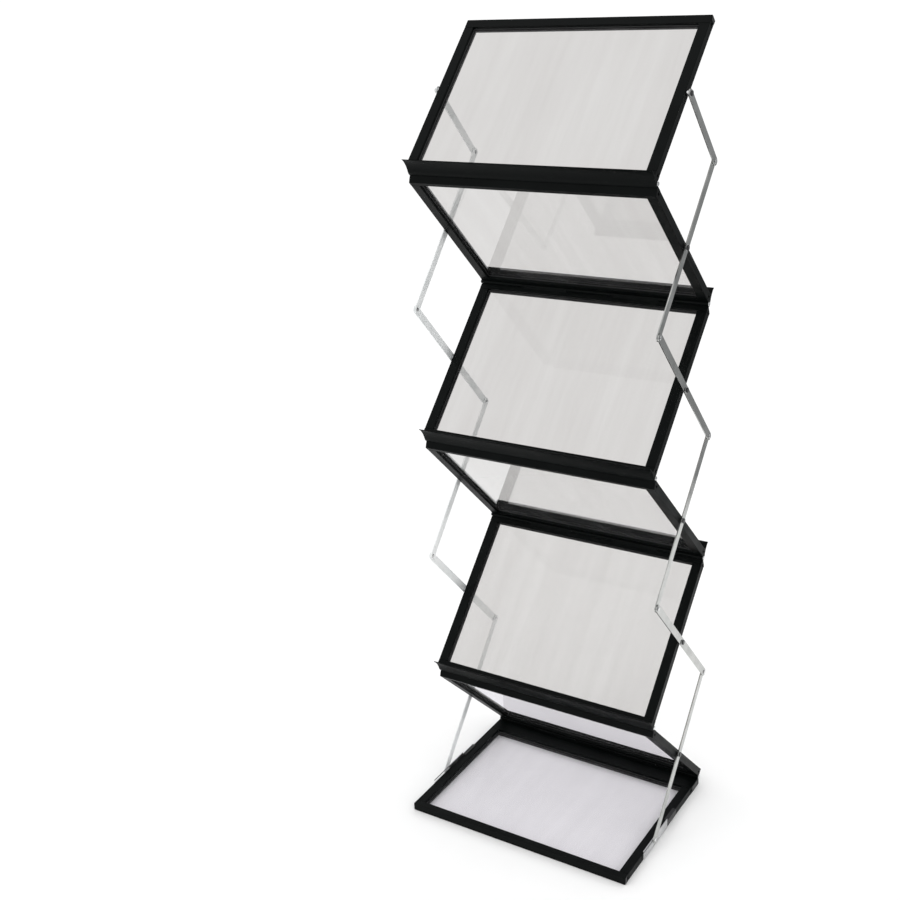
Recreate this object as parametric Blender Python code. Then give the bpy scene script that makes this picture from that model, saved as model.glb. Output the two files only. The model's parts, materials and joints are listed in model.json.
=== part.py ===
"""Folding zigzag brochure rack: seven framed clear panels, hinged in a zigzag, with lazy-tongs links.

Units are metres, +Z is up, -Y is the front, and the origin is on the floor below the middle of
the standing rack.  Panel 0 is the base, panels 1 to 6 climb from it.  Odd panels lean from the rear
hinge up to the front hinge, even panels from the front hinge up to the rear one.  Each panel is
modelled in the frame of an empty on its lower hinge axis.
"""
from math import asin, cos, pi, radians, sin

import bmesh
import bpy
from mathutils import Vector

# Driving dimensions
PANEL_W = 0.465              # width of every panel
PITCH_T = 0.0185             # folded pitch, from one hinge plane to the next
RAIL_T = 0.0152              # thickness of every rail
FACE_GAP = (PITCH_T - RAIL_T) / 2              # each face stands this far back from the folding plane
HINGE_L = 0.333              # hinge axis to hinge axis
OPEN_ANGLE = radians(48.0)   # slope of the line between two hinge axes, open
BASE_LENGTH = 0.3475         # rear hinge axis to the base's front edge
TOP_SHORTFALL = 0.0155       # the top panel ends short of where a seventh hinge would be

LOWER_RAIL_W = 0.012         # rail widths, from the hinge axis to the window
REAR_RAIL_W = 0.014
FRONT_RAIL_W = 0.0175
BASE_REAR_RAIL_W = 0.042
BASE_FRONT_RAIL_W = 0.0135
TOP_RAIL_W = 0.0165
SIDE_RAIL_W = 0.018
RAIL_WALL = 0.002
JOIN_GAP = 0.0003            # between pieces that touch

SHEET_T = 0.003
GROOVE_T = 0.0036
GROOVE_DEPTH = 0.0060
SHEET_INSERT = 0.0055        # how far the sheet's edge enters the groove

ROD_R = 0.0020
ROD_HOLE_R = 0.0023
ROD_HEAD_R = 0.0033
ROD_HEAD_T = 0.0013
KNUCKLE_R = 0.0035
NOTCH_R = 0.0040             # clearance hollow around the other rail's knuckles
KNUCKLE_SPANS = 5
KNUCKLE_END_GAP = 0.0005
NECK_HALF_W = 0.0020
UPPER_KNUCKLE = (radians(-30), 0.0055, 1)      # neck's direction and reach, and the first span
LOWER_KNUCKLE = (radians(75), 0.0065, 0)

LINK_W = 0.0145
LINK_T = 0.0022
INNER_LINK_X = 0.0020        # inner link's inner face, measured from the panel's side
OUTER_LINK_X = 0.0046
PIVOT_R = 0.0018
PIVOT_HOLE_R = 0.0022
PIVOT_HOLE_DEPTH = 0.0035    # through the side rail's outer wall
PIVOT_DEPTH = 0.0050         # how far a link's pin enters the side rail
BOSS_R = 0.0032
BOSS_START_X = 0.0004
RIVET_HEAD_R = 0.0038
RIVET_HEAD_T = 0.0012
RIVET_GAP = 0.0003
WELD_DEPTH = 0.0003          # how far a head or pin sinks into the bar that it is joined to
PIVOT_HEAD_R = 0.0048        # black screw head over each link's middle
PIVOT_HEAD_T = 0.0026

PLATE_X = 0.0003             # slotted base plates
PLATE_T = 0.0014
PLATE_TOP = 0.0044
PLATE_BOTTOM = -0.0140
PLATE_REAR = 0.160
PLATE_FRONT = 0.270
SLOT_REAR = 0.214
SLOT_HALF_H = 0.0022
PLATE_RIVET_AT = (0.262, -0.0108)
PLATE_RIVET_R = 0.0026
PLATE_RIVET_T = 0.0008

BLOCK_REAR = 0.118           # black stop block let into the base's side rail
BLOCK_FRONT = 0.1585
BLOCK_IN = 0.0057
BLOCK_OUT = 0.0018
BLOCK_DEPTH = 0.0117

PANEL_COUNT = 6
HALF_W = PANEL_W / 2
LEAN = asin(PITCH_T / HINGE_L)                 # hinge line to panel plane
PANEL_ANGLE = OPEN_ANGLE - LEAN
PANEL_L = HINGE_L * cos(LEAN)                  # hinge to hinge, along the panel's face
BODY_LOW = FACE_GAP
BODY_HIGH = PITCH_T - FACE_GAP
BASE_HINGE_Z = BODY_HIGH
NOTCH_START = asin(BODY_LOW / NOTCH_R)         # where the notch meets the rail's face

# Rail outlines: (a, b) with a from the hinge axis into the panel, b from the axis plane upwards
LIP_FRONT = [(-0.0044, -0.0022), (-0.0060, -0.0026), (-0.0058, 0.0006), (-0.0052, 0.0032), (-0.0040, 0.0060),
             (-0.0026, 0.0090), (-0.0014, 0.0122), (-0.0004, 0.0156), (0.0004, 0.0192), (0.0009, 0.0228),
             (0.0011, 0.0262), (0.0010, 0.0290), (0.0006, 0.0312), (-0.0001, 0.0325)]
LIP_BACK = [(0.0010, 0.0329), (0.0020, 0.0312), (0.0025, 0.0286), (0.0027, 0.0256), (0.0027, 0.0226),
            (0.0029, 0.0202), (0.0034, 0.0182), (0.0046, BODY_HIGH)]
UPPER_SLOPE = [(0.0042, -0.0052), (0.0065, -0.0105), (0.0100, -BODY_HIGH)]
END_CAVITY_DEPTHS = (BODY_LOW + RAIL_WALL, BODY_HIGH - RAIL_WALL)
BASE_REAR_CAVITY = (0.0070, 0.0330)


def clear_scene():
    for item in list(bpy.data.objects):
        bpy.data.objects.remove(item, do_unlink=True)


def principled(name, colour, roughness, metallic=0.0, alpha=1.0, transmission=0.0):
    material = bpy.data.materials.new(name)
    material.use_nodes = True
    shader = material.node_tree.nodes["Principled BSDF"]
    shader.inputs["Base Color"].default_value = (*colour, 1.0)
    shader.inputs["Roughness"].default_value = roughness
    shader.inputs["Metallic"].default_value = metallic
    shader.inputs["Alpha"].default_value = alpha
    shader.inputs["Transmission Weight"].default_value = transmission
    return material


def arc(centre, radius, start, end, steps):
    """Points on an arc from start to end, both included."""
    points = []
    for i in range(steps + 1):
        angle = start + (end - start) * i / steps
        points.append((centre[0] + radius * cos(angle), centre[1] + radius * sin(angle)))
    return points


def add_prism(bm, outline, axis, low, high):
    """Extrude a closed outline along X or Y; the outline is (y, z) for X and (x, z) for Y."""
    if axis == "X":
        corners = [Vector((low, p, q)) for p, q in outline]
        step = Vector((high - low, 0, 0))
    else:
        corners = [Vector((p, low, q)) for p, q in outline]
        step = Vector((0, high - low, 0))
    face = bm.faces.new([bm.verts.new(corner) for corner in corners])
    extruded = bmesh.ops.extrude_face_region(bm, geom=[face])
    moved = [item for item in extruded["geom"] if isinstance(item, bmesh.types.BMVert)]
    bmesh.ops.translate(bm, vec=step, verts=moved)


def new_object(name, build, parent, material, smooth=True):
    """One object from a function that fills a bmesh, in the parent's frame."""
    bm = bmesh.new()
    build(bm)
    bmesh.ops.recalc_face_normals(bm, faces=bm.faces)
    mesh = bpy.data.meshes.new(name)
    bm.to_mesh(mesh)
    bm.free()
    if smooth:
        mesh.shade_smooth()
        mesh.set_sharp_from_angle(angle=radians(32))
    item = bpy.data.objects.new(name, mesh)
    bpy.context.collection.objects.link(item)
    item.parent = parent
    if material:
        mesh.materials.append(material)
    return item


def combine(target, operation, name, build):
    """Boolean the shape that build makes into the target, which keeps the modifier."""
    cutter = new_object(name, build, target.parent, None, smooth=False)
    cutter.hide_render = True
    cutter.display_type = "WIRE"
    modifier = target.modifiers.new(name, "BOOLEAN")
    modifier.operation = operation
    modifier.object = cutter
    modifier.solver = "EXACT"


def frame_empty(name, location, angle):
    """A guide at a hinge axis, turned about X; its local +Y runs along the panel or link."""
    empty = bpy.data.objects.new(name, None)
    bpy.context.collection.objects.link(empty)
    empty.location = location
    empty.rotation_euler = (angle, 0, 0)
    return empty


def lip_outline():
    """Lower hinge rail with the flared lip that holds the brochures."""
    notch = arc((0, 0), NOTCH_R, NOTCH_START, radians(180), 9)
    groove = groove_points(LOWER_RAIL_W, PITCH_T / 2)
    return [(LOWER_RAIL_W, BODY_LOW)] + notch + LIP_FRONT + LIP_BACK + groove


def groove_points(width, middle):
    """The inner edge of a rail from its top face down to its bottom face, with the sheet's groove."""
    top = middle + BODY_HIGH - PITCH_T / 2
    return [(width, top), (width, middle + GROOVE_T / 2), (width - GROOVE_DEPTH, middle + GROOVE_T / 2),
            (width - GROOVE_DEPTH, middle - GROOVE_T / 2), (width, middle - GROOVE_T / 2)]


def lower_outline():
    """Lower hinge rail without a lip."""
    notch = arc((0, 0), NOTCH_R, NOTCH_START, radians(100), 5)
    end_a = notch[-1][0]
    groove = groove_points(LOWER_RAIL_W, PITCH_T / 2)
    return [(LOWER_RAIL_W, BODY_LOW)] + notch + [(end_a, BODY_HIGH)] + groove


def upper_outline(width):
    """Upper hinge rail; its end slopes back to leave room for the lip folded against it."""
    notch = arc((0, 0), NOTCH_R, -NOTCH_START, radians(-45), 3)
    edge = groove_points(width, -PITCH_T / 2)
    return [(width, -BODY_LOW)] + notch + UPPER_SLOPE + [(width, -BODY_HIGH)] + edge[::-1][:-1]


def base_rear_outline():
    notch = arc((0, 0), NOTCH_R, -NOTCH_START, radians(-90), 5)
    end = [(-0.0010, -NOTCH_R), (-0.0010, -BODY_HIGH)]
    edge = groove_points(BASE_REAR_RAIL_W, -PITCH_T / 2)
    width = BASE_REAR_RAIL_W
    return [(width, -BODY_LOW)] + notch + end + [(width, -BODY_HIGH)] + edge[::-1][:-1]


def plain_outline(width):
    """Rail at a free end: a is measured from that end."""
    return [(0, BODY_LOW), (0, BODY_HIGH)] + groove_points(width, PITCH_T / 2) + [(width, BODY_LOW)]


def knuckle_outline(direction, reach):
    """A round eye on the hinge axis with a neck running back into its rail."""
    open_half = asin(NECK_HALF_W / KNUCKLE_R)
    points = arc((0, 0), KNUCKLE_R, direction + open_half, direction + 2 * pi - open_half, 14)
    along = (cos(direction), sin(direction))
    across = (-sin(direction), cos(direction))
    for side in (-1, 1):
        points.append((reach * along[0] + side * NECK_HALF_W * across[0],
                       reach * along[1] + side * NECK_HALF_W * across[1]))
    return points


def knuckle_spans(first):
    """X ranges of every second span of the hinge, starting with the given one."""
    span = PANEL_W / KNUCKLE_SPANS
    starts = [-HALF_W + span * i for i in range(first, KNUCKLE_SPANS, 2)]
    return [(start + KNUCKLE_END_GAP, start + span - KNUCKLE_END_GAP) for start in starts]


def box_outline(low, high):
    return [(low[0], low[1]), (high[0], low[1]), (high[0], high[1]), (low[0], high[1])]


class End:
    """Places rail outlines: at the panel's lower hinge, its upper hinge, or its free end."""

    def __init__(self, sign, start, height, inward):
        self.sign = sign          # +1 where the panel's local +Y runs up the panel
        self.start = start        # the hinge axis or free edge, along the panel
        self.height = height      # the plane that b is measured from
        self.inward = inward      # +1 if a runs up the panel, -1 if it runs down

    def place(self, outline):
        return [(self.sign * (self.start + self.inward * a), self.height + b) for a, b in outline]


def cross_rail(name, end, outline, cavity, parent, material, knuckles=None):
    """A full-width rail: outline, hollow, and the knuckles and rod hole where it is hinged."""
    section = end.place(outline)
    rail = new_object(name, lambda bm: add_prism(bm, section, "X", -HALF_W, HALF_W), parent, material)
    if cavity:
        low, high = cavity
        hollow = end.place(box_outline(low, high))
        combine(rail, "DIFFERENCE", name + "_hollow",
                lambda bm: add_prism(bm, hollow, "X", -HALF_W - 0.01, HALF_W + 0.01))
    if knuckles:
        direction, reach, first = knuckles
        eye = end.place(knuckle_outline(direction, reach))
        hole = end.place(arc((0, 0), ROD_HOLE_R, 0, 2 * pi, 12)[:-1])

        def all_knuckles(bm):
            for low, high in knuckle_spans(first):
                add_prism(bm, eye, "X", low, high)

        combine(rail, "UNION", name + "_knuckles", all_knuckles)
        combine(rail, "DIFFERENCE", name + "_rod_hole",
                lambda bm: add_prism(bm, hole, "X", -HALF_W - 0.01, HALF_W + 0.01))
    return rail


def side_section(side, low):
    """Section of a side rail with the sheet's groove on its inner edge."""
    outer = side * HALF_W
    inner = side * (HALF_W - SIDE_RAIL_W)
    floor = side * (HALF_W - SIDE_RAIL_W + GROOVE_DEPTH)
    middle = low + (BODY_HIGH - BODY_LOW) / 2
    top = low + BODY_HIGH - BODY_LOW
    return [(outer, low), (outer, top),
            (inner, top), (inner, middle + GROOVE_T / 2), (floor, middle + GROOVE_T / 2),
            (floor, middle - GROOVE_T / 2), (inner, middle - GROOVE_T / 2), (inner, low)]


def side_rail(name, side, span, low, parent, material):
    """A hollow side rail between two cross rails; low is its underside."""
    rail = new_object(name, lambda bm: add_prism(bm, side_section(side, low), "Y", *span), parent, material)
    top = low + BODY_HIGH - BODY_LOW
    outer = side * (HALF_W - RAIL_WALL)
    inner = side * (HALF_W - SIDE_RAIL_W + GROOVE_DEPTH + RAIL_WALL)
    hollow = box_outline((outer, low + RAIL_WALL), (inner, top - RAIL_WALL))
    combine(rail, "DIFFERENCE", name + "_hollow",
            lambda bm: add_prism(bm, hollow, "Y", min(span) - 0.01, max(span) + 0.01))
    return rail


def cross_prism(bm, outline, x_from, x_to):
    """A prism along X between two places given in either order."""
    add_prism(bm, outline, "X", min(x_from, x_to), max(x_from, x_to))


def cylinder_prism(bm, centre, radius, x_from, x_to, steps=14):
    cross_prism(bm, arc(centre, radius, 0, 2 * pi, steps)[:-1], x_from, x_to)


def sheet(name, span, middle, parent, material):
    half = HALF_W - SIDE_RAIL_W + SHEET_INSERT
    outline = box_outline((-half, middle - SHEET_T / 2), (half, middle + SHEET_T / 2))
    return new_object(name, lambda bm: add_prism(bm, outline, "Y", *span), parent, material, smooth=False)


def add_sides_and_sheet(prefix, parent, sign, start, end, low, finish, pivot=None):
    """Two side rails and the clear sheet between cross rails that end at start and end."""
    ends = sorted((sign * (start + JOIN_GAP), sign * (end - JOIN_GAP)))
    for side, word in ((-1, "left"), (1, "right")):
        rail = side_rail(f"{prefix}_{word}_rail", side, ends, low, parent, finish["frame"])
        if pivot:
            hole = (side * (HALF_W - PIVOT_HOLE_DEPTH), side * (HALF_W + 0.01))
            combine(rail, "DIFFERENCE", rail.name + "_pivot_hole",
                    lambda bm: cylinder_prism(bm, pivot, PIVOT_HOLE_R, *hole))
    reach = sorted((sign * (start - SHEET_INSERT), sign * (end + SHEET_INSERT)))
    sheet(f"{prefix}_clear_sheet", reach, low + (BODY_HIGH - BODY_LOW) / 2, parent, finish["clear"])


def end_cavity(width):
    """The hollow of a rail at a free end, clear of the sheet's groove."""
    low, high = END_CAVITY_DEPTHS
    return (RAIL_WALL, low), (width - GROOVE_DEPTH - RAIL_WALL, high)


def make_panel(number, parent, finish):
    """One leaning panel in the frame of its lower hinge."""
    prefix = f"panel_{number}"
    frame = finish["frame"]
    sign = -1 if number % 2 else 1
    lower = End(sign, 0.0, 0.0, 1)
    if number == 1:
        cross_rail(f"{prefix}_hinge_rail", lower, lower_outline(), None, parent, frame, LOWER_KNUCKLE)
    else:
        cross_rail(f"{prefix}_lip_rail", lower, lip_outline(), None, parent, frame, LOWER_KNUCKLE)
    if number == PANEL_COUNT:
        width = TOP_RAIL_W
        length = PANEL_L - TOP_SHORTFALL
        free_end = End(sign, length, 0.0, -1)
        cross_rail(f"{prefix}_top_rail", free_end, plain_outline(width), end_cavity(width), parent, frame)
    else:
        leans_forward = number % 2
        width = FRONT_RAIL_W if leans_forward else REAR_RAIL_W
        length = PANEL_L
        upper = End(sign, length, PITCH_T, -1)
        cross_rail(f"{prefix}_upper_rail", upper, upper_outline(width), None, parent, frame, UPPER_KNUCKLE)
    pivot = (sign * PANEL_L / 2, PITCH_T / 2)
    add_sides_and_sheet(prefix, parent, sign, LOWER_RAIL_W, length - width, BODY_LOW, finish, pivot)


def make_base(parent, finish):
    """The base lies flat, with its hinge axis in its top face at the rear."""
    frame = finish["frame"]
    rear = End(-1, 0.0, 0.0, 1)
    low, high = END_CAVITY_DEPTHS
    rear_cavity = ((BASE_REAR_CAVITY[0], -high), (BASE_REAR_CAVITY[1], -low))
    cross_rail("base_rear_rail", rear, base_rear_outline(), rear_cavity, parent, frame, UPPER_KNUCKLE)
    front = End(-1, BASE_LENGTH, -PITCH_T, -1)
    width = BASE_FRONT_RAIL_W
    cross_rail("base_front_rail", front, plain_outline(width), end_cavity(width), parent, frame)
    front_edge = BASE_LENGTH - width
    add_sides_and_sheet("base", parent, -1, BASE_REAR_RAIL_W, front_edge, -BODY_HIGH, finish)
    for side, word in ((-1, "left"), (1, "right")):
        seat_block(side, word, parent, finish)
        slot_plate(side, word, parent, finish)


def seat_block(side, word, parent, finish):
    """A plastic stop block in a pocket of the base's side rail."""
    rail = bpy.data.objects[f"base_{word}_rail"]

    def outline(grow):
        low = side * (HALF_W - BLOCK_IN - grow)
        high = side * (HALF_W + BLOCK_OUT + grow)
        return box_outline((min(low, high), -BLOCK_DEPTH - grow), (max(low, high), grow))

    combine(rail, "DIFFERENCE", rail.name + "_pocket",
            lambda bm: add_prism(bm, outline(JOIN_GAP), "Y", -BLOCK_FRONT - JOIN_GAP, -BLOCK_REAR + JOIN_GAP))
    new_object(f"base_{word}_stop_block",
               lambda bm: add_prism(bm, outline(0), "Y", -BLOCK_FRONT, -BLOCK_REAR),
               parent, finish["plastic"], smooth=False)


def slot_plate(side, word, parent, finish):
    """A steel plate on the base's side, with a slot open to the front for the lowest link's pin."""
    inner = side * (HALF_W + PLATE_X)
    outer = side * (HALF_W + PLATE_X + PLATE_T)
    slot_end = arc((-SLOT_REAR - SLOT_HALF_H, 0), SLOT_HALF_H, radians(-90), radians(90), 6)
    outline = [(-PLATE_FRONT, PLATE_BOTTOM), (-PLATE_REAR, PLATE_BOTTOM), (-PLATE_REAR, PLATE_TOP),
               (-PLATE_FRONT, PLATE_TOP), (-PLATE_FRONT, SLOT_HALF_H)]
    outline += slot_end[::-1] + [(-PLATE_FRONT, -SLOT_HALF_H)]
    plate = new_object(f"base_{word}_slot_plate",
                       lambda bm: cross_prism(bm, outline, inner, outer),
                       parent, finish["bright"])
    centre = (-PLATE_RIVET_AT[0], PLATE_RIVET_AT[1])
    head = outer + side * PLATE_RIVET_T
    combine(plate, "UNION", plate.name + "_rivet",
            lambda bm: cylinder_prism(bm, centre, PLATE_RIVET_R, outer - side * PLATE_T / 2, head))


def make_rod(number, parent, sign, finish):
    """The hinge rod at the upper end of a panel, or of the base, with a head at each end."""
    centre = (0.0, 0.0) if number == 1 else (sign * PANEL_L, PITCH_T)
    rod = new_object(f"hinge_rod_{number}",
                     lambda bm: cylinder_prism(bm, centre, ROD_R, -HALF_W - 0.001, HALF_W + 0.001, 12),
                     parent, finish["bright"])

    def heads(bm):
        for side in (-1, 1):
            start = side * (HALF_W + JOIN_GAP)
            cylinder_prism(bm, centre, ROD_HEAD_R, start, start + side * ROD_HEAD_T, 16)

    combine(rod, "UNION", rod.name + "_heads", heads)


def link_outline(low, high):
    """A bar with round ends from low to high, both measured to the middle of the round."""
    return (arc((high, 0), LINK_W / 2, radians(-90), radians(90), 8)
            + arc((low, 0), LINK_W / 2, radians(90), radians(270), 8))


def make_link(number, side, parent, finish):
    """A side link in the frame of its pivot at the middle of its panel; +Y runs along the bar.

    Odd panels' links slope up to the rear and carry the end rivets.  Even panels' links slope down
    to the rear, lie outside the others and have a hole at each end for those rivets.
    """
    word = "left" if side < 0 else "right"
    inner_layer = number % 2
    face = HALF_W + (INNER_LINK_X if inner_layer else OUTER_LINK_X)
    outer_face = face + LINK_T
    rivet_seat = HALF_W + OUTER_LINK_X + LINK_T + RIVET_GAP
    low = 0.0 if number == PANEL_COUNT else -HINGE_L / 2
    high = HINGE_L / 2
    link = new_object(f"link_{number}_{word}",
                      lambda bm: cross_prism(bm, link_outline(low, high), side * face, side * outer_face),
                      parent, finish["bright"])
    boss_start = HALF_W + BOSS_START_X

    def cylinder(bm, at, radius, near, far, steps=14):
        cylinder_prism(bm, (at, 0), radius, side * near, side * far, steps)

    def pins(bm):
        """Shanks that stand off the bar."""
        cylinder(bm, 0, BOSS_R, boss_start, face + LINK_T / 2)
        if inner_layer:
            for at in (low, high):
                if number == 1 and at == low:
                    cylinder(bm, at, PIVOT_R, boss_start, face + LINK_T / 2)
                else:
                    cylinder(bm, at, PIVOT_R, face + LINK_T / 2, rivet_seat + WELD_DEPTH)

    def heads(bm):
        """Wider or thinner ends that grow out of those shanks and the bar."""
        cylinder(bm, 0, PIVOT_R, HALF_W - PIVOT_DEPTH, boss_start + WELD_DEPTH, 12)
        cylinder(bm, 0, PIVOT_HEAD_R, outer_face - WELD_DEPTH, outer_face + PIVOT_HEAD_T, 20)
        if inner_layer:
            for at in (low, high):
                start = outer_face - WELD_DEPTH if number == 1 and at == low else rivet_seat
                cylinder(bm, at, RIVET_HEAD_R, start, start + RIVET_HEAD_T, 16)

    def holes(bm):
        for at in (low, high):
            if at:
                cylinder(bm, at, PIVOT_HOLE_R, face - 0.001, outer_face + 0.001)

    combine(link, "UNION", link.name + "_pins", pins)
    combine(link, "UNION", link.name + "_heads", heads)
    if not inner_layer:
        combine(link, "DIFFERENCE", link.name + "_holes", holes)


def lip_reach():
    """How far a lip's tip stands out beyond its hinge axis, open."""
    return max(b * sin(PANEL_ANGLE) - a * cos(PANEL_ANGLE) for a, b in LIP_FRONT + LIP_BACK)


def main():
    clear_scene()
    finish = {
        "frame": principled("satin_black", (0.018, 0.020, 0.022), 0.38, 0.6),
        "clear": principled("clear_sheet", (0.86, 0.87, 0.88), 0.05, 0.0, 0.35, 0.6),
        "bright": principled("bright_metal", (0.78, 0.78, 0.79), 0.14, 1.0),
        "plastic": principled("black_plastic", (0.02, 0.02, 0.02), 0.5),
    }
    rear_y = (BASE_LENGTH - lip_reach()) / 2
    front_y = rear_y - HINGE_L * cos(OPEN_ANGLE)
    rise = HINGE_L * sin(OPEN_ANGLE)
    base = frame_empty("base_axis", (0, rear_y, BASE_HINGE_Z), 0.0)
    make_base(base, finish)
    below = base
    for number in range(1, PANEL_COUNT + 1):
        odd = number % 2
        hinge = (0, rear_y if odd else front_y, BASE_HINGE_Z + (number - 1) * rise)
        panel = frame_empty(f"panel_{number}_axis", hinge, -PANEL_ANGLE if odd else PANEL_ANGLE)
        make_panel(number, panel, finish)
        make_rod(number, below, 1 if odd else -1, finish)
        middle = (0, (rear_y + front_y) / 2, BASE_HINGE_Z + (number - 0.5) * rise)
        link_axis = frame_empty(f"link_{number}_axis", middle, OPEN_ANGLE if odd else -OPEN_ANGLE)
        for side in (-1, 1):
            make_link(number, side, link_axis, finish)
        below = panel


main()
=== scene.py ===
"""Looks of the folding zigzag brochure rack: satin black rails, clear sheets, polished links."""
import json
from math import asin, atan2, cos, pi, radians, sin

import bmesh
import bpy
from mathutils import Matrix, Vector

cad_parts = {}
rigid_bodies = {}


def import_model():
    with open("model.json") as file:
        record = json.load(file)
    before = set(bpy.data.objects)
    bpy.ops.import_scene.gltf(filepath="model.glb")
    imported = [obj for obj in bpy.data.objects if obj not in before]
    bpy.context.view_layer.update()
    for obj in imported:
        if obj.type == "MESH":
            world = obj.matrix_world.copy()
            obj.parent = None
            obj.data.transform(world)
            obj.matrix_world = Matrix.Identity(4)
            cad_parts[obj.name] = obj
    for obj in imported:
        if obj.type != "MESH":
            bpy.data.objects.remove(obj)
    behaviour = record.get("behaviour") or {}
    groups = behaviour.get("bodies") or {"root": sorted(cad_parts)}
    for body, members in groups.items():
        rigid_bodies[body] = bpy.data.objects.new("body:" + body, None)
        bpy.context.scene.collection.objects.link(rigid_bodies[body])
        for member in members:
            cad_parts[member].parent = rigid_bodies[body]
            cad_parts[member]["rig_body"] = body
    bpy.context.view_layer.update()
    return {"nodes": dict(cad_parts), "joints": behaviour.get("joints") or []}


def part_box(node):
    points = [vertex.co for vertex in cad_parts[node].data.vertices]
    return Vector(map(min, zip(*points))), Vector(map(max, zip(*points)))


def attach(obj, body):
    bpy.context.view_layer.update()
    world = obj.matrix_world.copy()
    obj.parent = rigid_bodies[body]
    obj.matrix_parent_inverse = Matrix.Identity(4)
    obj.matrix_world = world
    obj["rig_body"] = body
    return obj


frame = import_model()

# Dimensions shared with the CAD frame, metres
PITCH_T = 0.0185
FACE_GAP = 0.00165
LOWER_RAIL_W = 0.012
REAR_RAIL_W = 0.014
FRONT_RAIL_W = 0.0175
TOP_RAIL_W = 0.0165
TOP_SHORTFALL = 0.0155
SIDE_RAIL_W = 0.018
BASE_REAR_RAIL_W = 0.042
BASE_FRONT_RAIL_W = 0.0135
SHEET_T = 0.003
LINK_T = 0.0022
INNER_LINK_X = 0.0020
OUTER_LINK_X = 0.0046
PIVOT_HEAD_R = 0.0048
RIVET_GAP = 0.0003
RAIL_WALL = 0.002
BASE_REAR_HOLLOW = (0.0070, 0.0330)    # along the base from its hinge, as is every rib on it
BASE_FRONT_HOLLOW = 0.0055             # how far a hollow starts from the panel's end
TOP_HOLLOW = 0.0085
PANEL_COUNT = 6

# Fine shapes that only the looks have, metres
RAIL_EDGE = 0.0005
SIDE_EDGE = 0.0007
ROD_EDGE = 0.0002
METAL_EDGE = 0.0003
BLOCK_EDGE = 0.0004
SEAL_BEAD = 0.0011
SEAL_GAP = 0.0003
CAP_LIP = 0.0009
CAP_INSET = 0.0004
CAP_DEPTH = 0.008
RIB_HALF_W = 0.00035
RIB_RISE = 0.00028
BASE_RIBS = (0.0080, 0.0150, 0.0310)
LOWER_RIBS = (0.0062, 0.0092)          # from the lower hinge, on the underside
UPPER_RIBS = (0.0058, 0.0100)          # from the upper end, on the top face
RIVET_R = 0.0042
RIVET_H = 0.0016
RIVET_BACK_R = 0.0036
RIVET_BACK_H = 0.0010
ROD_HEAD_R = 0.0036
ROD_HEAD_H = 0.0015
ROD_SOCKET_R = 0.0012
WASHER_PROFILE = [(0.0053, 0.0), (0.0056, 0.0002), (0.0056, 0.0005), (0.0052, 0.0007)]
SPACER_PROFILE = [(0.0045, 0.0), (0.0049, 0.0003), (0.0049, 0.0037), (0.0045, 0.0040)]
SPACER_START_X = 0.0005

# Looks
RAIL_SPECULAR = 0.07
FLOOR_SPECULAR = 0.15
ACRYLIC_IOR = 1.49
FACE_ON_CUT = 0.05                     # taken off the mirror share, so head-on reflections stay faint
UNTINTED = (0.96, 0.96, 0.96, 1)       # what shadow and diffuse rays see of a sheet
FULL_GLOSS = 0.95
LOW_GLOSS = 0.32

# Studio and camera
WORLD_STRENGTH = 1.06
ROOM_BRIGHT_SIDE = (-0.55, -0.35, 0.75)
ROOM_STOPS = ((0.0, (0.30, 0.305, 0.31)), (0.52, (0.50, 0.505, 0.51)), (1.0, (0.95, 0.95, 0.95)))
FLOOR_R = 1.7
FLOOR_DROP = 0.0006
LIGHT_TARGET = (0, 0, 0.8)
LIGHTS = [("key", (-1.8, -2.2, 2.9), 1.2, 12.0), ("fill", (2.6, -0.6, 2.0), 0.8, 4.0),
          ("rear", (0.3, 2.4, 2.8), 1.4, 7.0)]
CAMERA_SENSOR_MM = 36.0
CAMERA_LENS_MM = 51.25
CAMERA_AT = (1.0499, -1.9116, 1.6058)
CAMERA_TURN_DEG = (68.744, 2.970, 32.470)

HALF_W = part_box("base_front_rail")[1].x
HINGES = {}
for joint in frame["joints"]:
    if joint["name"] == "rack_fold" or joint["name"].endswith("_hinge"):
        HINGES[len(HINGES) + 1] = Vector(joint["pos_m"])
LINK_PIVOTS = {j["child"]: Vector(j["pos_m"]) for j in frame["joints"] if j["name"].endswith("_pivot")}
HINGE_STEP = HINGES[2] - HINGES[1]
HINGE_L = HINGE_STEP.length
OPEN_ANGLE = atan2(HINGE_STEP.z, -HINGE_STEP.y)
PANEL_ANGLE = OPEN_ANGLE - asin(PITCH_T / HINGE_L)
PANEL_L = HINGE_L * cos(asin(PITCH_T / HINGE_L))


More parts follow.
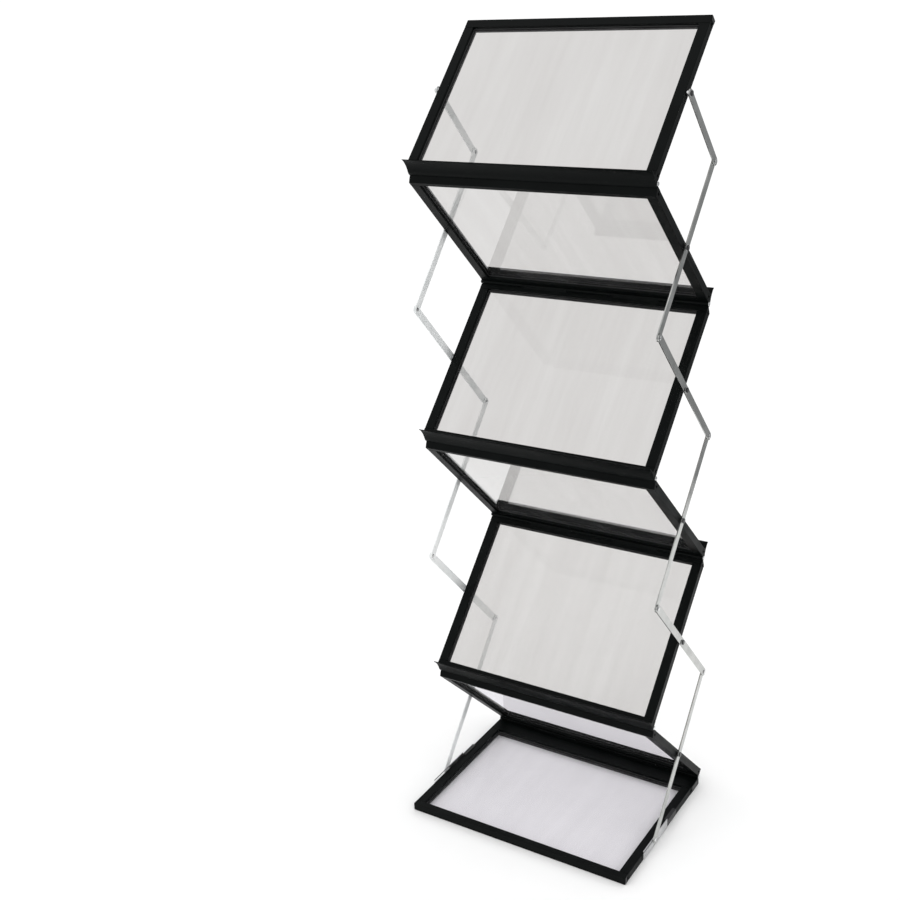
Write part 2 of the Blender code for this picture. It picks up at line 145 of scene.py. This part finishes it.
class PanelFrame:
    """Coordinates of one panel: x across, u up the panel from its lower hinge, w out of its top face."""

    def __init__(self, number):
        self.number = number
        self.body = f"panel_{number}" if number else "base"
        self.origin = HINGES[max(number, 1)].copy()
        if number == 0:
            self.along = Vector((0, -1, 0))
            self.out = Vector((0, 0, 1))
            self.origin.z -= PITCH_T
        elif number % 2:
            self.along = Vector((0, -cos(PANEL_ANGLE), sin(PANEL_ANGLE)))
            self.out = Vector((0, sin(PANEL_ANGLE), cos(PANEL_ANGLE)))
        else:
            self.along = Vector((0, cos(PANEL_ANGLE), sin(PANEL_ANGLE)))
            self.out = Vector((0, -sin(PANEL_ANGLE), cos(PANEL_ANGLE)))
        base_length = HINGES[1].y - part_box("base_front_rail")[0].y
        self.length = base_length if number == 0 else PANEL_L
        if number == PANEL_COUNT:
            self.length = PANEL_L - TOP_SHORTFALL
        self.window_low = BASE_REAR_RAIL_W if number == 0 else LOWER_RAIL_W
        upper = {0: BASE_FRONT_RAIL_W, PANEL_COUNT: TOP_RAIL_W}.get(
            number, FRONT_RAIL_W if number % 2 else REAR_RAIL_W)
        self.window_high = self.length - upper

    def point(self, x, u, w):
        return self.origin + Vector((x, 0, 0)) + self.along * u + self.out * w

    def turn(self):
        """Rotation about X that takes +Y to the panel's own direction for its texture."""
        return atan2(self.along.z, self.along.y)


PANELS = [PanelFrame(number) for number in range(PANEL_COUNT + 1)]


# ---- node materials -------------------------------------------------------------------------

class Graph:
    """Short calls for building one material's node tree."""

    def __init__(self, name):
        self.material = bpy.data.materials.new(name)
        self.material.use_nodes = True
        self.tree = self.material.node_tree
        self.shader = self.tree.nodes["Principled BSDF"]

    def add(self, kind, **settings):
        node = self.tree.nodes.new(kind)
        for key, value in settings.items():
            setattr(node, key, value)
        return node

    def link(self, output, socket):
        self.tree.links.new(output, socket)

    def coordinates(self, scale, turn=0.0):
        source = self.add("ShaderNodeTexCoord")
        mapping = self.add("ShaderNodeMapping")
        mapping.inputs["Rotation"].default_value = (-turn, 0, 0)
        mapping.inputs["Scale"].default_value = scale
        self.link(source.outputs["Object"], mapping.inputs["Vector"])
        return mapping.outputs["Vector"]

    def noise(self, vector, scale, detail=3.0, roughness=0.55):
        node = self.add("ShaderNodeTexNoise")
        node.inputs["Scale"].default_value = scale
        node.inputs["Detail"].default_value = detail
        node.inputs["Roughness"].default_value = roughness
        self.link(vector, node.inputs["Vector"])
        return node.outputs["Fac"]

    def ramp(self, factor, low, high, first, last):
        """A colour ramp between two colours; first and last are its stops."""
        node = self.add("ShaderNodeValToRGB")
        node.color_ramp.elements[0].position = first
        node.color_ramp.elements[0].color = (*low, 1)
        node.color_ramp.elements[1].position = last
        node.color_ramp.elements[1].color = (*high, 1)
        self.link(factor, node.inputs["Fac"])
        return node.outputs["Color"]

    def span(self, factor, low, high, first=0.3, last=0.7):
        node = self.add("ShaderNodeMapRange")
        for key, value in (("From Min", first), ("From Max", last), ("To Min", low), ("To Max", high)):
            node.inputs[key].default_value = value
        self.link(factor, node.inputs["Value"])
        return node.outputs["Result"]

    def bump(self, *layers):
        """Bump from (height, distance, strength) layers, one on another."""
        normal = None
        for height, distance, strength in layers:
            node = self.add("ShaderNodeBump")
            node.inputs["Distance"].default_value = distance
            node.inputs["Strength"].default_value = strength
            self.link(height, node.inputs["Height"])
            if normal:
                self.link(normal, node.inputs["Normal"])
            normal = node.outputs["Normal"]
        self.link(normal, self.shader.inputs["Normal"])

    def set(self, **values):
        for key, value in values.items():
            self.shader.inputs[key.replace("_", " ")].default_value = value


def black_rail_material(name, turn, along_x):
    """Satin black coated extrusion: faint die lines along it, fine orange peel, soft scuffs."""
    graph = Graph(name)
    stretch = (6, 900, 900) if along_x else (900, 6, 900)
    lines = graph.noise(graph.coordinates(stretch, turn), 1.0, 2.0)
    peel = graph.noise(graph.coordinates((1, 1, 1)), 1400.0, 2.0)
    cloud = graph.noise(graph.coordinates((1, 1, 1)), 22.0, 5.0, 0.6)
    colour = graph.ramp(cloud, (0.0014, 0.0021, 0.0020), (0.0030, 0.0040, 0.0038), 0.35, 0.68)
    graph.link(colour, graph.shader.inputs["Base Color"])
    graph.link(graph.span(cloud, 0.36, 0.50), graph.shader.inputs["Roughness"])
    graph.bump((lines, 0.00008, 0.35), (peel, 0.00004, 0.5))
    graph.set(Metallic=0.0)
    graph.shader.inputs["Specular IOR Level"].default_value = RAIL_SPECULAR
    return graph.material


def clear_sheet_material(name, tint_low, tint_high, gloss):
    """Clear acrylic, tinted see-through with faint haze and smears, and a mirror at low angles.

    Shadow and diffuse rays pass almost undimmed.  Only outward faces show, so that each sheet is
    counted once.
    """
    graph = Graph(name)
    streaks = graph.noise(graph.coordinates((30, 2, 2)), 1.0, 4.0, 0.6)
    smears = graph.noise(graph.coordinates((1, 1, 1)), 9.0, 5.0, 0.65)
    tint = graph.ramp(streaks, tint_low, tint_high, 0.3, 0.72)
    path = graph.add("ShaderNodeLightPath")
    lit = graph.add("ShaderNodeMath", operation="MAXIMUM")
    graph.link(path.outputs["Is Shadow Ray"], lit.inputs[0])
    graph.link(path.outputs["Is Diffuse Ray"], lit.inputs[1])
    tint_mix = graph.add("ShaderNodeMix", data_type="RGBA")
    graph.link(lit.outputs[0], tint_mix.inputs["Factor"])
    graph.link(tint, tint_mix.inputs["A"])
    tint_mix.inputs["B"].default_value = UNTINTED
    through = graph.add("ShaderNodeBsdfTransparent")
    graph.link(tint_mix.outputs["Result"], through.inputs["Color"])
    graph.link(graph.ramp(smears, (0.70, 0.70, 0.71), (0.92, 0.92, 0.93), 0.3, 0.7),
               graph.shader.inputs["Base Color"])
    graph.set(Roughness=0.9)
    graph.shader.inputs["Specular IOR Level"].default_value = 0.0
    haze = graph.add("ShaderNodeMixShader")
    graph.link(graph.span(smears, 0.012, 0.05, 0.35, 0.75), haze.inputs["Fac"])
    graph.link(through.outputs[0], haze.inputs[1])
    graph.link(graph.shader.outputs[0], haze.inputs[2])
    fresnel = graph.add("ShaderNodeFresnel")
    fresnel.inputs["IOR"].default_value = ACRYLIC_IOR
    both = graph.add("ShaderNodeMath", operation="MULTIPLY")
    both.inputs[1].default_value = 2.0
    graph.link(fresnel.outputs[0], both.inputs[0])
    total = graph.add("ShaderNodeMath", operation="ADD")
    total.inputs[1].default_value = 1.0
    graph.link(fresnel.outputs[0], total.inputs[0])
    share = graph.add("ShaderNodeMath", operation="DIVIDE")
    graph.link(both.outputs[0], share.inputs[0])
    graph.link(total.outputs[0], share.inputs[1])
    mirror_share = graph.span(share.outputs[0], 0.0, gloss, FACE_ON_CUT, 1.0)
    mirror = graph.add("ShaderNodeBsdfAnisotropic")
    graph.link(graph.span(smears, 0.01, 0.05, 0.35, 0.75), mirror.inputs["Roughness"])
    sheen = graph.ramp(smears, (0.93, 0.94, 0.95), (0.97, 0.97, 0.97), 0.3, 0.7)
    graph.link(sheen, mirror.inputs["Color"])
    glazed = graph.add("ShaderNodeMixShader")
    graph.link(mirror_share, glazed.inputs["Fac"])
    graph.link(haze.outputs[0], glazed.inputs[1])
    graph.link(mirror.outputs[0], glazed.inputs[2])
    clear = graph.add("ShaderNodeBsdfTransparent")
    facing = graph.add("ShaderNodeNewGeometry")
    one_side = graph.add("ShaderNodeMixShader")
    graph.link(facing.outputs["Backfacing"], one_side.inputs["Fac"])
    graph.link(glazed.outputs[0], one_side.inputs[1])
    graph.link(clear.outputs[0], one_side.inputs[2])
    graph.link(one_side.outputs[0], graph.tree.nodes["Material Output"].inputs["Surface"])
    return graph.material


def polished_material(name, low, high, rough, metallic=1.0):
    """Bright metal with a fine grain and cloudy reflections."""
    graph = Graph(name)
    fine = graph.noise(graph.coordinates((1, 1, 1)), 750.0, 3.0)
    cloud = graph.noise(graph.coordinates((1, 1, 1)), 28.0, 4.0, 0.6)
    graph.link(graph.ramp(cloud, low, high, 0.32, 0.7), graph.shader.inputs["Base Color"])
    graph.link(graph.span(cloud, rough * 0.8, rough * 1.5), graph.shader.inputs["Roughness"])
    graph.bump((fine, 0.00001, 0.15), (cloud, 0.0002, 0.10))
    graph.set(Metallic=metallic)
    return graph.material


def moulded_black_material(name, rough):
    """Black plastic, rubber or blackened steel with a fine moulded grain."""
    graph = Graph(name)
    grain = graph.noise(graph.coordinates((1, 1, 1)), 1100.0, 3.0)
    cloud = graph.noise(graph.coordinates((1, 1, 1)), 60.0, 3.0)
    graph.link(graph.ramp(cloud, (0.006, 0.0065, 0.007), (0.013, 0.0135, 0.014), 0.3, 0.7),
               graph.shader.inputs["Base Color"])
    graph.link(graph.span(cloud, rough - 0.06, rough + 0.06), graph.shader.inputs["Roughness"])
    graph.bump((grain, 0.00006, 0.6))
    return graph.material


def floor_material():
    """Plain, nearly white floor."""
    graph = Graph("pale_floor")
    cloud = graph.noise(graph.coordinates((1, 1, 1)), 3.0, 5.0)
    graph.link(graph.ramp(cloud, (0.94, 0.94, 0.94), (0.955, 0.955, 0.955), 0.3, 0.7),
               graph.shader.inputs["Base Color"])
    graph.link(graph.span(cloud, 0.75, 0.85), graph.shader.inputs["Roughness"])
    graph.set(Metallic=0.0)
    graph.shader.inputs["Specular IOR Level"].default_value = FLOOR_SPECULAR
    return graph.material


CLEAR = clear_sheet_material("clear_acrylic", (0.615, 0.600, 0.590), (0.660, 0.650, 0.640), FULL_GLOSS)
# A lighter tinted, less glossy copy of the same acrylic for the base and the lowest panel: painted light
# that makes up for the shaded floor seen through them.
CLEAR_PAINTED_BRIGHT = clear_sheet_material("clear_acrylic_painted_bright", (0.80, 0.78, 0.82), (0.84, 0.82, 0.86), LOW_GLOSS)
LINK_METAL = polished_material("polished_links", (0.40, 0.41, 0.40), (0.58, 0.585, 0.57), 0.16)
# The left-hand links are the same metal as the right-hand ones, painted whiter and less metallic: a painted
# highlight that makes them read brighter.
LEFT_LINKS_PAINTED_BRIGHT = polished_material("satin_links", (0.80, 0.825, 0.825), (0.95, 0.96, 0.96), 0.34, 0.3)
PLATE_METAL = polished_material("plate_metal", (0.52, 0.525, 0.53), (0.70, 0.705, 0.71), 0.30)
RIVET_METAL = polished_material("rivet_metal", (0.68, 0.685, 0.69), (0.86, 0.865, 0.87), 0.12)
CAP_PLASTIC = moulded_black_material("cap_plastic", 0.46)
SEAL_RUBBER = moulded_black_material("seal_rubber", 0.62)
SCREW_BLACK = moulded_black_material("screw_black", 0.30)
ACROSS = {panel.body: black_rail_material(f"rail_{panel.body}_across", panel.turn(), True)
          for panel in PANELS}
ALONG = {panel.body: black_rail_material(f"rail_{panel.body}_along", panel.turn(), False)
         for panel in PANELS}


# ---- shape helpers ---------------------------------------------------------------------------

def finish_mesh(name, bm, material, body, smooth_angle=32.0):
    """Turn a bmesh into a piece that rides on a body."""
    bmesh.ops.recalc_face_normals(bm, faces=bm.faces)
    mesh = bpy.data.meshes.new(name)
    bm.to_mesh(mesh)
    bm.free()
    mesh.shade_smooth()
    mesh.set_sharp_from_angle(angle=radians(smooth_angle))
    mesh.materials.append(material)
    piece = bpy.data.objects.new(name, mesh)
    bpy.context.scene.collection.objects.link(piece)
    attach(piece, body)
    return piece


def add_bevel(piece, width, segments=2, angle=35.0):
    bevel = piece.modifiers.new("edges", "BEVEL")
    bevel.width = width
    bevel.segments = segments
    bevel.limit_method = "ANGLE"
    bevel.angle_limit = radians(angle)
    bevel.harden_normals = True


def soften_node(node, width):
    """Round the edges of a CAD solid for its looks, without touching its mesh."""
    mesh = node.data
    if "custom_normal" in mesh.attributes:
        mesh.attributes.remove(mesh.attributes["custom_normal"])
    mesh.polygons.foreach_set("use_smooth", [True] * len(mesh.polygons))
    weld = node.modifiers.new("weld", "WELD")
    weld.merge_threshold = 0.00001
    add_bevel(node, width)


def flatten_node(node):
    """Show a CAD solid's faces flat, without touching its mesh."""
    mesh = node.data
    if "custom_normal" in mesh.attributes:
        mesh.attributes.remove(mesh.attributes["custom_normal"])
    mesh.polygons.foreach_set("use_smooth", [False] * len(mesh.polygons))


def revolve_x(bm, centre, side, profile, steps=28):
    """Turn a (radius, height) profile about an X axis; height runs outwards on the given side."""
    rings = []
    for radius, height in profile:
        ring = []
        for i in range(steps):
            angle = 2 * pi * i / steps
            ring.append(bm.verts.new((centre.x + side * height, centre.y + radius * cos(angle),
                                      centre.z + radius * sin(angle))))
        rings.append(ring)
    for first, second in zip(rings, rings[1:]):
        for i in range(steps):
            j = (i + 1) % steps
            bm.faces.new((first[i], first[j], second[j], second[i]))
    bm.faces.new(rings[0])
    bm.faces.new(rings[-1])


def dome_profile(radius, height, rim=0.25, steps=7):
    """A button head: short straight rim, then an elliptical dome with a small flat on top."""
    points = [(radius * 0.97, 0.0), (radius, height * 0.08), (radius, height * rim)]
    for i in range(1, steps):
        angle = (pi / 2) * i / steps
        points.append((radius * cos(angle), height * (rim + (1 - rim) * sin(angle))))
    return points


def socket_profile(radius, height, socket):
    """A button head with a round recess, for a hex key, in its top."""
    outer = [(r, h) for r, h in dome_profile(radius, height) if r > socket * 1.15]
    return outer + [(socket * 1.12, height * 0.97), (socket, height * 0.90), (socket * 0.96, height * 0.25),
                    (socket * 0.3, height * 0.18)]


def x_bar(bm, panel, outline, x_low, x_high):
    """A bar along X from a closed (u, w) outline in a panel's coordinates."""
    ends = []
    for x in (x_low, x_high):
        ends.append([bm.verts.new(panel.point(x, u, w)) for u, w in outline])
    count = len(outline)
    for i in range(count):
        j = (i + 1) % count
        bm.faces.new((ends[0][i], ends[0][j], ends[1][j], ends[1][i]))
    bm.faces.new(ends[0])
    bm.faces.new(ends[1][::-1])


# ---- finishes on the CAD solids ---------------------------------------------------------------

def dress_cad_nodes():
    """Give every CAD solid its material and soft edges."""
    for panel in PANELS:
        for name, node in frame["nodes"].items():
            if node["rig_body"] != panel.body:
                continue
            node.data.materials.clear()
            if name.endswith("clear_sheet"):
                # The base and the lowest panel get the copy of the acrylic lightened as painted light.
                node.data.materials.append(CLEAR_PAINTED_BRIGHT if panel.number < 2 else CLEAR)
                flatten_node(node)
            elif name.endswith(("left_rail", "right_rail")):
                node.data.materials.append(ALONG[panel.body])
                soften_node(node, SIDE_EDGE)
            elif name.endswith("_rail"):
                node.data.materials.append(ACROSS[panel.body])
                soften_node(node, RAIL_EDGE)
            elif "hinge_rod" in name:
                node.data.materials.append(RIVET_METAL)
                soften_node(node, ROD_EDGE)
            elif "slot_plate" in name:
                node.data.materials.append(PLATE_METAL)
                soften_node(node, METAL_EDGE)
            else:
                node.data.materials.append(CAP_PLASTIC)
                soften_node(node, BLOCK_EDGE)
    for name, node in frame["nodes"].items():
        if name.startswith("link_"):
            dress_link(name, node)


def dress_link(name, node):
    """Polished bar and pins, with the screw head over its middle in black; the left-hand links get a
    whiter, part-metal copy of the metal, which is painted brightness.
    """
    mesh = node.data
    mesh.materials.clear()
    mesh.materials.append(LEFT_LINKS_PAINTED_BRIGHT if name.endswith("left") else LINK_METAL)
    mesh.materials.append(SCREW_BLACK)
    pivot = LINK_PIVOTS[name]
    face = HALF_W + (INNER_LINK_X if int(name.split("_")[1]) % 2 else OUTER_LINK_X) + LINK_T
    for polygon in mesh.polygons:
        spot = node.matrix_world @ polygon.center
        on_head = abs(spot.x) > face + 0.0002
        near_axis = Vector((spot.y - pivot.y, spot.z - pivot.z)).length < PIVOT_HEAD_R + 0.0005
        polygon.material_index = 1 if on_head and near_axis else 0
    soften_node(node, METAL_EDGE)


# ---- added details -----------------------------------------------------------------------------

def glazing_seal(panel, top):
    """A thin rubber bead round the window where the sheet enters the rails."""
    sign = 1 if top else -1
    level = PITCH_T / 2 + sign * SHEET_T / 2
    bead = SEAL_BEAD
    half = HALF_W - SIDE_RAIL_W
    corners = [(-half, panel.window_low), (half, panel.window_low), (half, panel.window_high),
               (-half, panel.window_high)]
    inward = [(1, 1), (-1, 1), (-1, -1), (1, -1)]
    profile = [(SEAL_GAP, SEAL_GAP / 2), (bead, SEAL_GAP / 2), (bead * 1.15, bead * 0.45),
               (bead * 0.8, bead * 0.95), (SEAL_GAP, bead * 1.35)]
    bm = bmesh.new()
    loops = []
    for (x, u), (sx, su) in zip(corners, inward):
        loops.append([bm.verts.new(panel.point(x + sx * d, u + su * d, level + sign * h))
                      for d, h in profile])
    count = len(profile)
    for i in range(4):
        j = (i + 1) % 4
        for a in range(count):
            b = (a + 1) % count
            bm.faces.new((loops[i][a], loops[j][a], loops[j][b], loops[i][b]))
    face = "top" if top else "under"
    finish_mesh(f"{panel.body}_{face}_seal", bm, SEAL_RUBBER, panel.body, 50)


def rectangle(low, high, grow):
    """Corners of a (u, w) rectangle, each side moved outwards by grow."""
    (u0, w0), (u1, w1) = low, high
    return [(u0 - grow, w0 - grow), (u1 + grow, w0 - grow), (u1 + grow, w1 + grow), (u0 - grow, w1 + grow)]


def end_caps():
    """Plastic plugs in the open ends of the hollow cross rails."""
    for panel in PANELS:
        for low_end, end in ((True, "lower"), (False, "upper")):
            opening = cap_opening(panel, low_end)
            if not opening:
                continue
            for side, word in ((-1, "left"), (1, "right")):
                bm = bmesh.new()
                x_bar(bm, panel, rectangle(*opening, CAP_LIP),
                      side * (HALF_W + 0.0002), side * (HALF_W + 0.0009))
                x_bar(bm, panel, rectangle(*opening, -CAP_INSET),
                      side * (HALF_W - CAP_DEPTH), side * (HALF_W + 0.00015))
                cap = finish_mesh(f"{panel.body}_{end}_{word}_end_cap", bm, CAP_PLASTIC,
                                  panel.body)
                add_bevel(cap, BLOCK_EDGE, 3)


def cap_opening(panel, low_end):
    """The hollow of a cross rail, as (u, w) corners, or None for a solid rail."""
    low, high = FACE_GAP + RAIL_WALL, PITCH_T - FACE_GAP - RAIL_WALL
    if panel.number == 0 and low_end:
        return (BASE_REAR_HOLLOW[0], low), (BASE_REAR_HOLLOW[1], high)
    if panel.number == 0:
        return (panel.length - BASE_FRONT_HOLLOW, low), (panel.length - RAIL_WALL, high)
    if panel.number == PANEL_COUNT and not low_end:
        return (panel.length - TOP_HOLLOW, low), (panel.length - RAIL_WALL, high)
    return None


def rail_ribs():
    """Fine raised lines that the extrusions carry beside their hinges."""
    for panel in PANELS:
        bm = bmesh.new()
        if panel.number == 0:
            lines = [(u, 1) for u in BASE_RIBS]
        else:
            lines = [(u, -1) for u in LOWER_RIBS]
            if panel.number != PANEL_COUNT:
                lines += [(panel.length - u, 1) for u in UPPER_RIBS]
        for u, face in lines:
            level = PITCH_T - FACE_GAP if face > 0 else FACE_GAP
            half = RIB_HALF_W
            rise = RIB_RISE * face
            outline = [(u - half, level - rise * 0.5), (u - half, level + rise * 0.5), (u, level + rise),
                       (u + half, level + rise * 0.5), (u + half, level - rise * 0.5)]
            x_bar(bm, panel, outline, -HALF_W + 0.0006, HALF_W - 0.0006)
        finish_mesh(f"{panel.body}_rail_ribs", bm, ACROSS[panel.body], panel.body, 60)


def pivot_screws():
    """Bright washers under the screw heads at the links' middles, and spacers behind outer links."""
    for link, pivot in LINK_PIVOTS.items():
        side = 1 if pivot.x > 0 else -1
        inner = int(link.split("_")[1]) % 2
        start = INNER_LINK_X if inner else OUTER_LINK_X
        centre = Vector((side * (HALF_W + start + LINK_T), pivot.y, pivot.z))
        bm = bmesh.new()
        revolve_x(bm, centre, side, WASHER_PROFILE)
        finish_mesh(f"{link}_washer", bm, RIVET_METAL, link, 40)
        if not inner:
            bm = bmesh.new()
            centre = Vector((side * (HALF_W + SPACER_START_X), pivot.y, pivot.z))
            revolve_x(bm, centre, side, SPACER_PROFILE)
            finish_mesh(f"{link}_spacer", bm, RIVET_METAL, link, 40)


def link_ends():
    """Domed heads on both sides of the rivets that join one link to the next.

    The lowest rivets have none at the back, where the base's slot plate is.
    """
    for number in range(1, PANEL_COUNT + 1, 2):
        for side, word in ((-1, "left"), (1, "right")):
            link = f"link_{number}_{word}"
            pivot = LINK_PIVOTS[link]
            half = Vector((0, cos(OPEN_ANGLE), sin(OPEN_ANGLE))) * (HINGE_L / 2)
            for end, sign in (("lower", -1), ("upper", 1)):
                spot = pivot + half * sign
                base_end = number == 1 and end == "lower"
                level = INNER_LINK_X + LINK_T if base_end else OUTER_LINK_X + LINK_T + RIVET_GAP
                bm = bmesh.new()
                centre = Vector((side * (HALF_W + level), spot.y, spot.z))
                revolve_x(bm, centre, side, dome_profile(RIVET_R, RIVET_H))
                finish_mesh(f"{link}_{end}_rivet", bm, RIVET_METAL, link, 40)
                if base_end:
                    continue
                back = bmesh.new()
                centre = Vector((side * (HALF_W + INNER_LINK_X), spot.y, spot.z))
                revolve_x(back, centre, -side, dome_profile(RIVET_BACK_R, RIVET_BACK_H))
                finish_mesh(f"{link}_{end}_rivet_back", back, RIVET_METAL, link, 40)


def rod_heads():
    """Button heads with a round recess on the hinge rods."""
    for number, hinge in HINGES.items():
        body = "base" if number == 1 else f"panel_{number - 1}"
        for side, word in ((-1, "left"), (1, "right")):
            bm = bmesh.new()
            centre = Vector((side * (HALF_W + RIVET_GAP), hinge.y, hinge.z))
            revolve_x(bm, centre, side, socket_profile(ROD_HEAD_R, ROD_HEAD_H, ROD_SOCKET_R))
            finish_mesh(f"hinge_{number}_{word}_head", bm, RIVET_METAL, body, 40)


# ---- studio ---------------------------------------------------------------------------------------

def surroundings():
    """White for the camera and for soft light, and a dimmer room for reflections."""
    world = bpy.data.worlds.new("studio")
    bpy.context.scene.world = world
    world.use_nodes = True
    tree = world.node_tree
    plain = tree.nodes["Background"]
    plain.inputs["Color"].default_value = (1.0, 1.0, 1.0, 1)
    plain.inputs["Strength"].default_value = WORLD_STRENGTH
    room = tree.nodes.new("ShaderNodeBackground")
    coordinates = tree.nodes.new("ShaderNodeTexCoord")
    toward = tree.nodes.new("ShaderNodeVectorMath")
    toward.operation = "DOT_PRODUCT"
    toward.inputs[1].default_value = ROOM_BRIGHT_SIDE
    tree.links.new(coordinates.outputs["Generated"], toward.inputs[0])
    lift = tree.nodes.new("ShaderNodeMapRange")
    lift.inputs["From Min"].default_value = -1.0
    tree.links.new(toward.outputs["Value"], lift.inputs["Value"])
    shade = tree.nodes.new("ShaderNodeValToRGB")
    stops = shade.color_ramp.elements
    stops.new(ROOM_STOPS[1][0])
    for stop, (position, colour) in zip(stops, ROOM_STOPS):
        stop.position = position
        stop.color = (*colour, 1)
    tree.links.new(lift.outputs["Result"], shade.inputs["Fac"])
    tree.links.new(shade.outputs["Color"], room.inputs["Color"])
    path = tree.nodes.new("ShaderNodeLightPath")
    mix = tree.nodes.new("ShaderNodeMixShader")
    tree.links.new(path.outputs["Is Glossy Ray"], mix.inputs["Fac"])
    tree.links.new(plain.outputs[0], mix.inputs[1])
    tree.links.new(room.outputs[0], mix.inputs[2])
    tree.links.new(mix.outputs[0], tree.nodes["World Output"].inputs["Surface"])


def studio_floor():
    """A pale disc just under the base."""
    bm = bmesh.new()
    bmesh.ops.create_circle(bm, cap_ends=True, segments=96, radius=FLOOR_R)
    mesh = bpy.data.meshes.new("floor")
    bm.to_mesh(mesh)
    bm.free()
    mesh.materials.append(floor_material())
    floor = bpy.data.objects.new("floor", mesh)
    bpy.context.scene.collection.objects.link(floor)
    floor.location.z = -FLOOR_DROP


def lamps():
    """Soft square lamps; the key stays out of reflections, where it would draw a hard edge."""
    for name, place, size, power in LIGHTS:
        data = bpy.data.lights.new(name, "AREA")
        data.shape = "SQUARE"
        data.size = size
        data.energy = power
        light = bpy.data.objects.new(name, data)
        bpy.context.scene.collection.objects.link(light)
        light.location = place
        light.visible_glossy = name != "key"
        aim = Vector(LIGHT_TARGET) - Vector(place)
        light.rotation_euler = aim.to_track_quat("-Z", "Y").to_euler()


def camera():
    data = bpy.data.cameras.new("camera")
    data.sensor_width = CAMERA_SENSOR_MM
    data.lens = CAMERA_LENS_MM
    view = bpy.data.objects.new("camera", data)
    bpy.context.scene.collection.objects.link(view)
    view.location = CAMERA_AT
    view.rotation_euler = [radians(angle) for angle in CAMERA_TURN_DEG]
    bpy.context.scene.camera = view


dress_cad_nodes()
for each_panel in PANELS:
    glazing_seal(each_panel, True)
    glazing_seal(each_panel, False)
end_caps()
rail_ribs()
pivot_screws()
link_ends()
rod_heads()
surroundings()
studio_floor()
lamps()
camera()
bpy.context.scene.view_settings.view_transform = "Standard"
